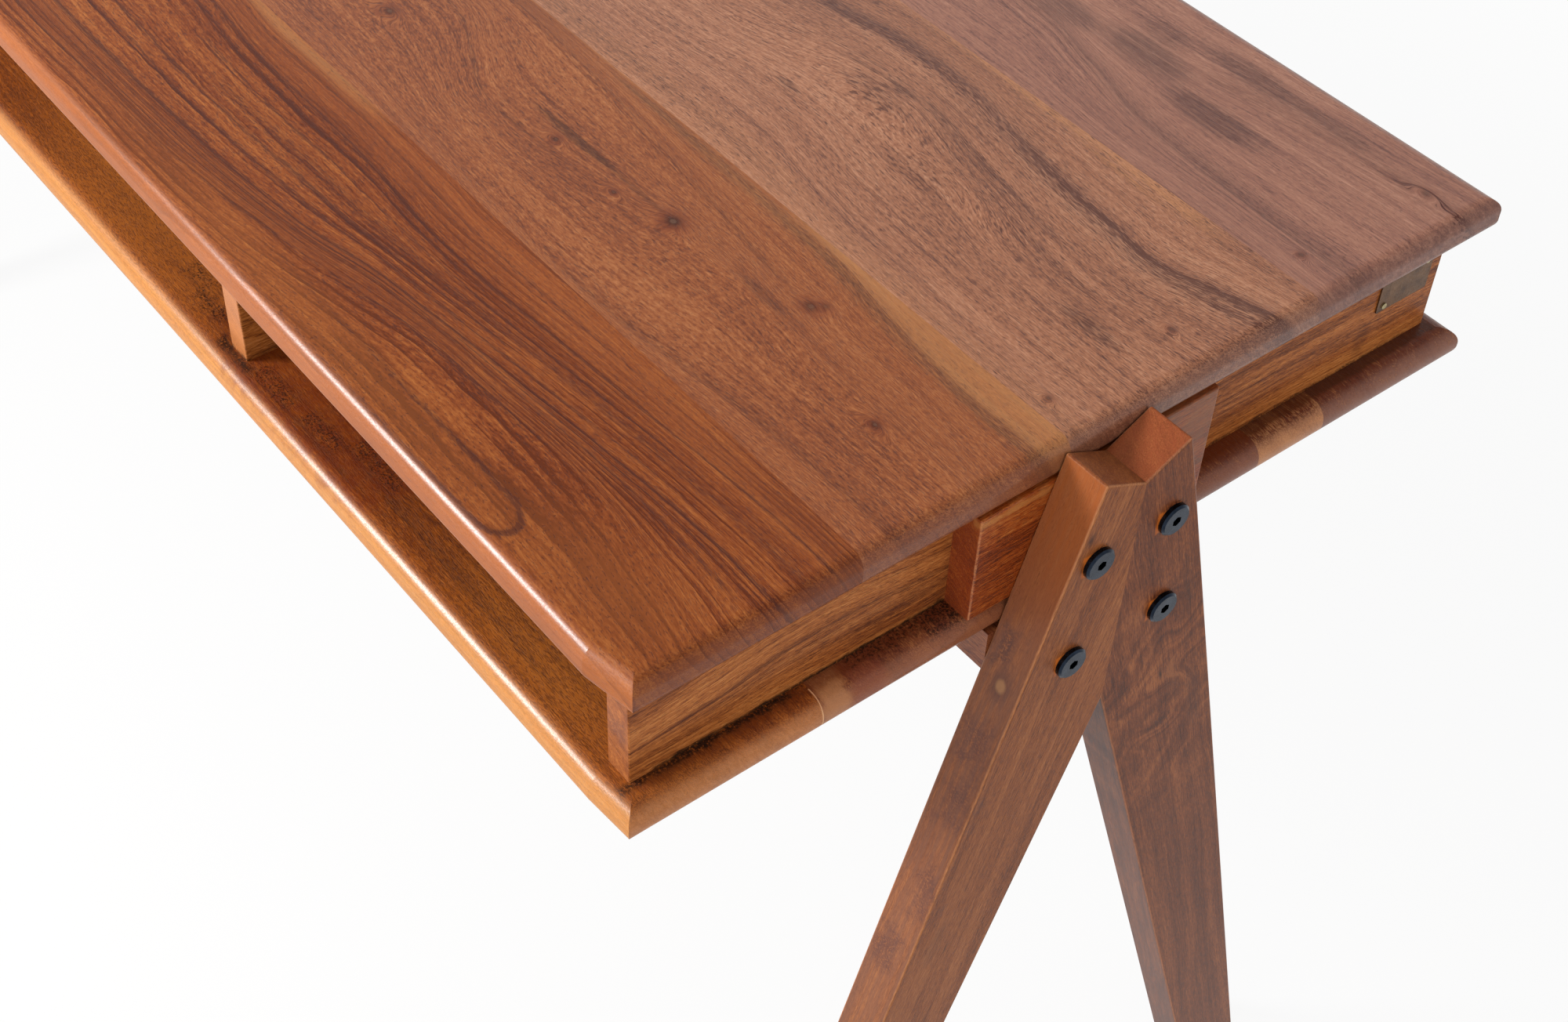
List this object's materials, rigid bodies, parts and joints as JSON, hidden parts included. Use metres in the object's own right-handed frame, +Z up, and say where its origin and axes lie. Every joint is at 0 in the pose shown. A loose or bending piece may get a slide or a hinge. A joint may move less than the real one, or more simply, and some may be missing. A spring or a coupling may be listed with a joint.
{
  "type": "campaign desk",
  "caption": "Hardwood writing desk with open compartments between plank boards, on bolted pairs of splayed, mitred legs.",
  "frame": {"origin": "on the floor under the middle of the desk", "axes": "+X along the length, -Y towards the open front, +Z up"},
  "size_m": [1.4182, 0.6, 0.76],
  "materials": {
    "top_wood": "gloss",
    "bottom_wood": "gloss",
    "case_wood": "satin",
    "leg_wood": "satin",
    "dowel_wood": "matte",
    "black_steel": "satin",
    "plated_steel": "satin",
    "bronzed_brass": "satin",
    "pale_brass": "satin"
  },
  "bodies": {
    "root": {"top_plank_1": "top_wood", "top_plank_2": "top_wood", "top_plank_3": "top_wood", "top_plank_4": "top_wood", "bottom_plank_1": "bottom_wood", "bottom_plank_2": "bottom_wood", "bottom_plank_3": "bottom_wood", "bottom_plank_4": "bottom_wood", "bottom_plank_5": "bottom_wood", "end_panel_right": "case_wood", "end_panel_left": "case_wood", "divider_right": "case_wood", "divider_left": "case_wood", "back_panel": "case_wood", "spacer_right": "case_wood", "spacer_left": "case_wood", "leg_front_right": "leg_wood", "leg_front_left": "leg_wood", "leg_rear_right": "leg_wood", "leg_rear_left": "leg_wood", "under_rail": "leg_wood", "top_dowels": "dowel_wood", "bottom_dowels": "dowel_wood", "leg_dowels_right": "dowel_wood", "leg_dowels_left": "dowel_wood", "upper_bolts_right": "black_steel", "upper_bolts_left": "black_steel", "lower_bolts_right": "black_steel", "lower_bolts_left": "black_steel", "sleeve_nuts_right": "plated_steel", "sleeve_nuts_left": "plated_steel", "barrel_nuts_right": "plated_steel", "barrel_nuts_left": "plated_steel", "rail_screws": "plated_steel", "blank_plate": "bronzed_brass", "plate_pins": "pale_brass"}
  },
  "joints": []
}
